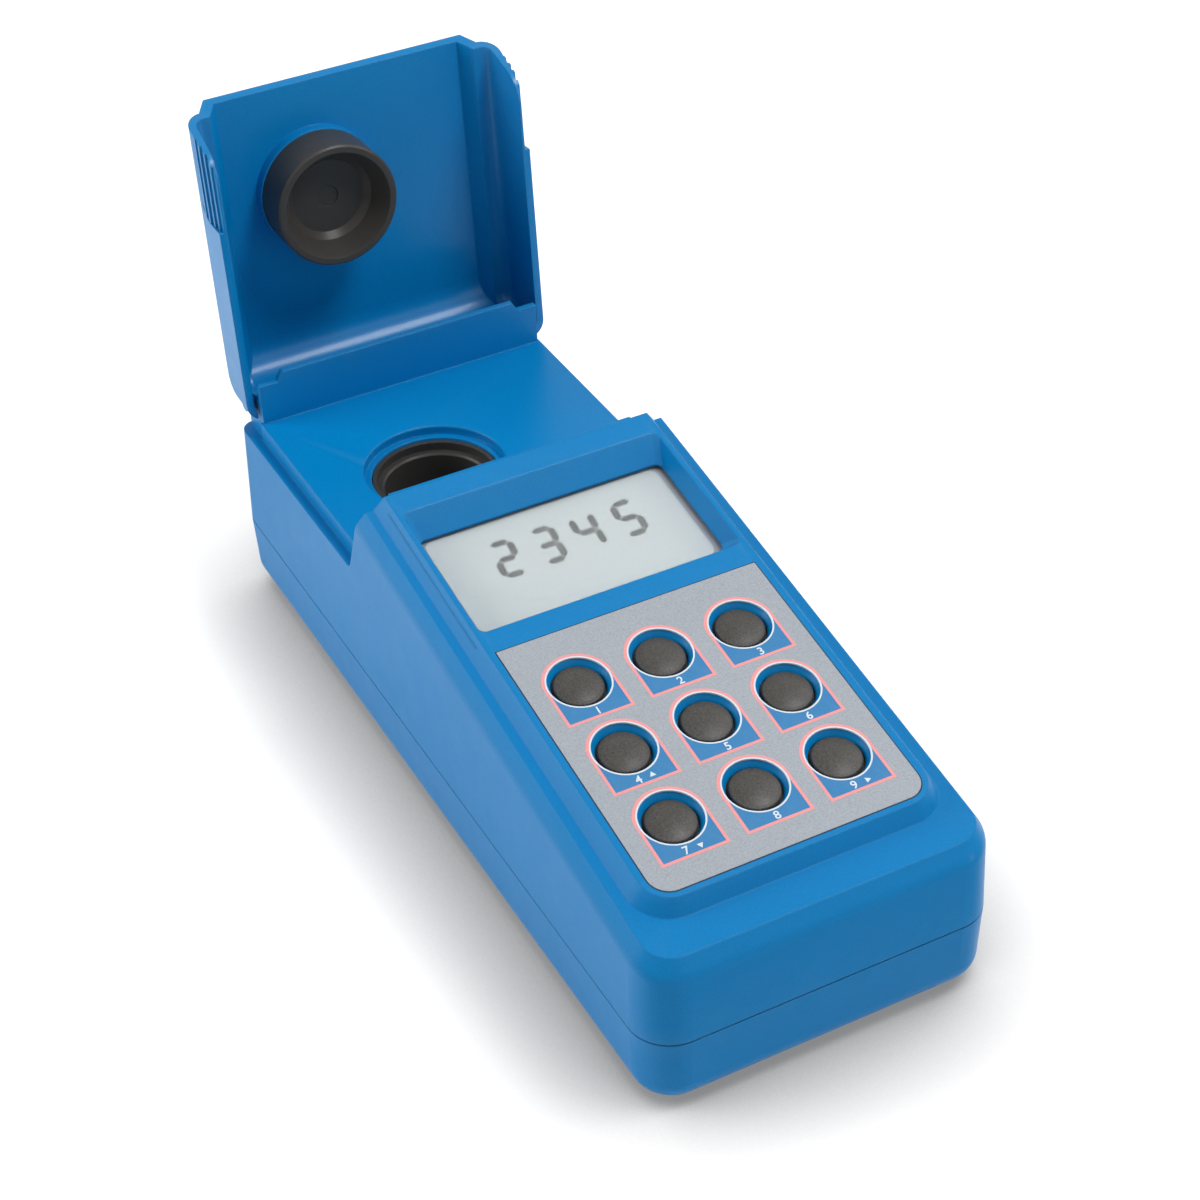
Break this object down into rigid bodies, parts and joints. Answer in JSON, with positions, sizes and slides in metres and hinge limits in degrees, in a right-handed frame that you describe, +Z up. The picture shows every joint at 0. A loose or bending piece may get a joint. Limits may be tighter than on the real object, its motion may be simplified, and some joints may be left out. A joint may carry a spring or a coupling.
{
  "type": "portable turbidity meter",
  "caption": "Hand-held wedge-shaped turbidity meter with a hinged lid over a sample well, a recessed display and a membrane keypad with round push keys.",
  "frame": {"origin": "on the table under the middle of the meter as it stands with its lid open, level with the soles of the feet", "axes": "+X to the right across the width, +Y from the keypad end to the hinge end, +Z up"},
  "size_m": [0.087, 0.24, 0.1319],
  "materials": {
    "housing_blue": "satin moulded plastic with a fine grain",
    "cup_black": "satin black moulded plastic",
    "membrane_grey": "printed polyester membrane",
    "key_dark": "matt speckled dark key caps",
    "window_clear": "clear polished window",
    "lcd_grey": "grey display glass in a dark frame",
    "board_green": "circuit board with solder mask",
    "component_black": "moulded electronic components",
    "steel": "plated steel",
    "nickel": "nickel plated spring strip",
    "detector_can": "plain metal can",
    "battery_wrap": "plain wrapped cell",
    "foot_rubber": "matt black rubber",
    "cable_grey": "flat ribbon cable"
  },
  "bodies": {
    "body": {"bottom_housing": "housing_blue", "top_housing": "housing_blue", "cuvette_holder": "cup_black", "optical_block": "cup_black", "power_jack": "cup_black", "hinge_pins": "steel", "case_screws": "steel", "board_screws": "steel", "lamp": "detector_can", "scatter_detector": "detector_can", "transmitted_detector": "detector_can", "keypad_overlay": "membrane_grey", "key_switches": "nickel", "key_board": "board_green", "display_board": "board_green", "main_board": "board_green", "board_components": "component_black", "lcd_window": "window_clear", "lcd_panel": "lcd_grey", "ribbon_cable": "cable_grey", "batteries": "battery_wrap", "battery_contacts": "nickel", "rubber_feet": "foot_rubber"},
    "lid": {"lid": "housing_blue", "light_cup": "cup_black"},
    "battery_door": {"battery_door": "housing_blue"},
    "key_1": {"key_1": "key_dark"},
    "key_2": {"key_2": "key_dark"},
    "key_3": {"key_3": "key_dark"},
    "key_4": {"key_4": "key_dark"},
    "key_5": {"key_5": "key_dark"},
    "key_6": {"key_6": "key_dark"},
    "key_7": {"key_7": "key_dark"},
    "key_8": {"key_8": "key_dark"},
    "key_9": {"key_9": "key_dark"}
  },
  "joints": [
    {"name": "lid_hinge", "type": "hinge", "parent": "body", "child": "lid", "pos_m": [0, 0.1001, 0.0567], "axis": [1, 0, 0], "range_deg": [0, 93.5]},
    {"name": "key_1_press", "type": "slide", "parent": "body", "child": "key_1", "axis": [0, 0.1736, -0.9848], "range_m": [0, 0.0008], "stiffness_N_per_m": 600, "springref_m": -0.0005},
    {"name": "key_2_press", "type": "slide", "parent": "body", "child": "key_2", "axis": [0, 0.1736, -0.9848], "range_m": [0, 0.0008], "stiffness_N_per_m": 600, "springref_m": -0.0005},
    {"name": "key_3_press", "type": "slide", "parent": "body", "child": "key_3", "axis": [0, 0.1736, -0.9848], "range_m": [0, 0.0008], "stiffness_N_per_m": 600, "springref_m": -0.0005},
    {"name": "key_4_press", "type": "slide", "parent": "body", "child": "key_4", "axis": [0, 0.1736, -0.9848], "range_m": [0, 0.0008], "stiffness_N_per_m": 600, "springref_m": -0.0005},
    {"name": "key_5_press", "type": "slide", "parent": "body", "child": "key_5", "axis": [0, 0.1736, -0.9848], "range_m": [0, 0.0008], "stiffness_N_per_m": 600, "springref_m": -0.0005},
    {"name": "key_6_press", "type": "slide", "parent": "body", "child": "key_6", "axis": [0, 0.1736, -0.9848], "range_m": [0, 0.0008], "stiffness_N_per_m": 600, "springref_m": -0.0005},
    {"name": "key_7_press", "type": "slide", "parent": "body", "child": "key_7", "axis": [0, 0.1736, -0.9848], "range_m": [0, 0.0008], "stiffness_N_per_m": 600, "springref_m": -0.0005},
    {"name": "key_8_press", "type": "slide", "parent": "body", "child": "key_8", "axis": [0, 0.1736, -0.9848], "range_m": [0, 0.0008], "stiffness_N_per_m": 600, "springref_m": -0.0005},
    {"name": "key_9_press", "type": "slide", "parent": "body", "child": "key_9", "axis": [0, 0.1736, -0.9848], "range_m": [0, 0.0008], "stiffness_N_per_m": 600, "springref_m": -0.0005},
    {"name": "battery_door_lift", "type": "slide", "parent": "body", "child": "battery_door", "axis": [0, 0, -1], "range_m": [0, 0.015]}
  ]
}
